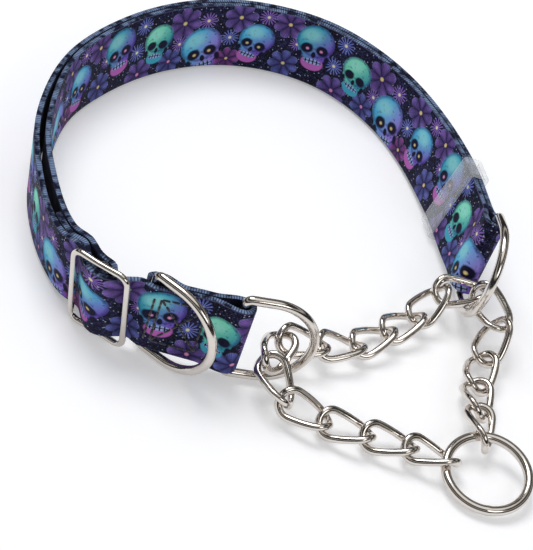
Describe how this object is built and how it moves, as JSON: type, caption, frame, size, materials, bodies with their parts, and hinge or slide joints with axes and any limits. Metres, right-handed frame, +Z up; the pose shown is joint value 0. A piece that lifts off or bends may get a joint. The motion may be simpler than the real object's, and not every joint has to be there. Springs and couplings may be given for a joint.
{
  "type": "martingale collar",
  "caption": "Martingale dog collar of doubled 25 mm patterned webbing with a metal slide, clear keeper, tag ring and a curb-chain control loop.",
  "frame": {"origin": "centre of the bounding box in X and Y, on the floor the collar lies on", "axes": "+Z up out of the floor, through the neck opening; +X towards the leash ring's side; -Y towards the chain loop and the slide"},
  "size_m": [0.1772, 0.172, 0.0356],
  "materials": {
    "webbing": "woven polyester with a printed violet, blue and mint pattern on a near black ground",
    "thread": "matt black sewing thread",
    "nickel": "polished nickel plate on welded steel wire",
    "clear_plastic": "clear, slightly milky soft plastic"
  },
  "bodies": {
    "strap": {"main_strap": "webbing", "box_stitching": "thread", "slide_end_stitching": "thread"},
    "keeper_body": {"keeper": "clear_plastic"},
    "slide_body": {"slide_buckle": "nickel"},
    "tag_ring_body": {"tag_ring": "nickel"},
    "left_ring_body": {"left_end_ring": "nickel"},
    "right_ring_body": {"right_end_ring": "nickel"},
    "leash_ring_body": {"leash_ring": "nickel"},
    "chain_link_01_body": {"chain_link_01": "nickel"},
    "chain_link_02_body": {"chain_link_02": "nickel"},
    "chain_link_03_body": {"chain_link_03": "nickel"},
    "chain_link_04_body": {"chain_link_04": "nickel"},
    "chain_link_05_body": {"chain_link_05": "nickel"},
    "chain_link_06_body": {"chain_link_06": "nickel"},
    "chain_link_07_body": {"chain_link_07": "nickel"},
    "chain_link_08_body": {"chain_link_08": "nickel"},
    "chain_link_09_body": {"chain_link_09": "nickel"},
    "chain_link_10_body": {"chain_link_10": "nickel"},
    "chain_link_11_body": {"chain_link_11": "nickel"},
    "chain_link_12_body": {"chain_link_12": "nickel"},
    "chain_link_13_body": {"chain_link_13": "nickel"},
    "chain_link_14_body": {"chain_link_14": "nickel"},
    "chain_link_15_body": {"chain_link_15": "nickel"},
    "chain_link_16_body": {"chain_link_16": "nickel"},
    "chain_link_17_body": {"chain_link_17": "nickel"}
  },
  "joints": [
    {"name": "keeper_slide", "type": "slide", "parent": "strap", "child": "keeper_body", "axis": [0.4131, -0.9093, 0.0496], "range_m": [-0.004, 0.004]},
    {"name": "slide_rock", "type": "hinge", "parent": "strap", "child": "slide_body", "pos_m": [-0.04705, -0.0686, 0.01624], "axis": [-0.128, -0.1137, 0.9852], "range_deg": [-4, 4]},
    {"name": "tag_ring_swing", "type": "hinge", "parent": "strap", "child": "tag_ring_body", "pos_m": [-0.03347, -0.06865, 0.01687], "axis": [0.0065, 0.0733, -0.9973], "range_deg": [-7, 90]},
    {"name": "left_ring_swing", "type": "hinge", "parent": "strap", "child": "left_ring_body", "pos_m": [-0.00749, -0.06682, 0.01679], "axis": [-0.001, -0.0001, 1], "range_deg": [-4, 4]},
    {"name": "right_ring_swing", "type": "hinge", "parent": "strap", "child": "right_ring_body", "pos_m": [0.05499, 0.00565, 0.01723], "axis": [0.0849, 0.3092, 0.9472], "range_deg": [-3, 1.5]},
    {"name": "link_06_turn", "type": "hinge", "parent": "left_ring_body", "child": "chain_link_06_body", "pos_m": [0.00517, -0.05943, 0.01048], "axis": [0, 0, 1], "range_deg": [-6.42, 6.42]},
    {"name": "link_05_turn", "type": "hinge", "parent": "chain_link_06_body", "child": "chain_link_05_body", "pos_m": [0.00419, -0.06528, 0.01087], "axis": [0, 0, 1], "range_deg": [-6.8, 6.8]},
    {"name": "link_04_turn", "type": "hinge", "parent": "chain_link_05_body", "child": "chain_link_04_body", "pos_m": [0.01259, -0.07457, 0.00699], "axis": [0, 0, 1], "range_deg": [-9.3, 9.3]},
    {"name": "link_03_turn", "type": "hinge", "parent": "chain_link_04_body", "child": "chain_link_03_body", "pos_m": [0.02513, -0.07502, 0.00489], "axis": [0, 0, 1], "range_deg": [-7.82, 7.82]},
    {"name": "link_02_turn", "type": "hinge", "parent": "chain_link_03_body", "child": "chain_link_02_body", "pos_m": [0.03832, -0.07422, 0.00489], "axis": [0, 0, 1], "range_deg": [-8.06, 8.06]},
    {"name": "link_01_turn", "type": "hinge", "parent": "chain_link_02_body", "child": "chain_link_01_body", "pos_m": [0.0513, -0.07278, 0.00484], "axis": [0, 0, 1], "range_deg": [-5.16, 5.16]},
    {"name": "link_07_turn", "type": "hinge", "parent": "chain_link_06_body", "child": "chain_link_07_body", "pos_m": [0.00617, -0.05358, 0.01008], "axis": [0, 0, 1], "range_deg": [-3.04, 3.04]},
    {"name": "link_08_turn", "type": "hinge", "parent": "chain_link_07_body", "child": "chain_link_08_body", "pos_m": [0.0176, -0.04769, 0.0073], "axis": [0, 0, 1], "range_deg": [-7.08, 7.08]},
    {"name": "link_09_turn", "type": "hinge", "parent": "chain_link_08_body", "child": "chain_link_09_body", "pos_m": [0.02792, -0.03962, 0.00489], "axis": [0, 0, 1], "range_deg": [-9.77, 9.77]},
    {"name": "link_10_turn", "type": "hinge", "parent": "chain_link_09_body", "child": "chain_link_10_body", "pos_m": [0.03533, -0.02892, 0.00489], "axis": [0, 0, 1], "range_deg": [-8.01, 8.01]},
    {"name": "link_11_turn", "type": "hinge", "parent": "chain_link_10_body", "child": "chain_link_11_body", "pos_m": [0.04272, -0.01822, 0.00509], "axis": [0, 0, 1], "range_deg": [-9.08, 9.08]},
    {"name": "link_12_turn", "type": "hinge", "parent": "chain_link_11_body", "child": "chain_link_12_body", "pos_m": [0.04754, -0.00743, 0.0094], "axis": [0, 0, 1], "range_deg": [-4.4, 4.4]},
    {"name": "link_13_turn", "type": "hinge", "parent": "chain_link_12_body", "child": "chain_link_13_body", "pos_m": [0.05917, -0.00569, 0.01269], "axis": [0, 0, 1], "range_deg": [-0.61, 0.61]},
    {"name": "link_14_turn", "type": "hinge", "parent": "chain_link_13_body", "child": "chain_link_14_body", "pos_m": [0.06781, -0.01313, 0.0101], "axis": [0, 0, 1], "range_deg": [-2.85, 2.85]},
    {"name": "link_15_turn", "type": "hinge", "parent": "chain_link_14_body", "child": "chain_link_15_body", "pos_m": [0.06585, -0.02532, 0.00484], "axis": [0, 0, 1], "range_deg": [-7.55, 7.55]},
    {"name": "link_16_turn", "type": "hinge", "parent": "chain_link_15_body", "child": "chain_link_16_body", "pos_m": [0.06552, -0.03782, 0.00489], "axis": [0, 0, 1], "range_deg": [-8.79, 8.79]},
    {"name": "link_17_turn", "type": "hinge", "parent": "chain_link_16_body", "child": "chain_link_17_body", "pos_m": [0.06777, -0.05029, 0.00662], "axis": [0, 0, 1], "range_deg": [-3.49, 3.49]},
    {"name": "leash_ring_flip", "type": "hinge", "parent": "chain_link_01_body", "child": "leash_ring_body", "pos_m": [0.06651, -0.06651, 0.0061], "axis": [0.5825, 0.7979, 0.1551], "range_deg": [-5, 15]}
  ],
  "couplings": [
    {"joint": "link_06_turn", "follows": "left_ring_swing", "ratio": -1.6017},
    {"joint": "link_05_turn", "follows": "left_ring_swing", "ratio": 1.6987},
    {"joint": "link_04_turn", "follows": "left_ring_swing", "ratio": -2.3232},
    {"joint": "link_03_turn", "follows": "left_ring_swing", "ratio": 1.9529},
    {"joint": "link_02_turn", "follows": "left_ring_swing", "ratio": -2.0133},
    {"joint": "link_01_turn", "follows": "left_ring_swing", "ratio": 1.2867},
    {"joint": "link_07_turn", "follows": "left_ring_swing", "ratio": 0.7585},
    {"joint": "link_08_turn", "follows": "left_ring_swing", "ratio": -1.7674},
    {"joint": "link_09_turn", "follows": "left_ring_swing", "ratio": 2.4402},
    {"joint": "link_10_turn", "follows": "left_ring_swing", "ratio": -2},
    {"joint": "link_11_turn", "follows": "left_ring_swing", "ratio": 2.2684},
    {"joint": "link_12_turn", "follows": "left_ring_swing", "ratio": -1.098},
    {"joint": "link_13_turn", "follows": "left_ring_swing", "ratio": 0.15},
    {"joint": "link_14_turn", "follows": "left_ring_swing", "ratio": -0.70998},
    {"joint": "link_15_turn", "follows": "left_ring_swing", "ratio": 1.8849},
    {"joint": "link_16_turn", "follows": "left_ring_swing", "ratio": -2.1951},
    {"joint": "link_17_turn", "follows": "left_ring_swing", "ratio": 0.8702}
  ]
}
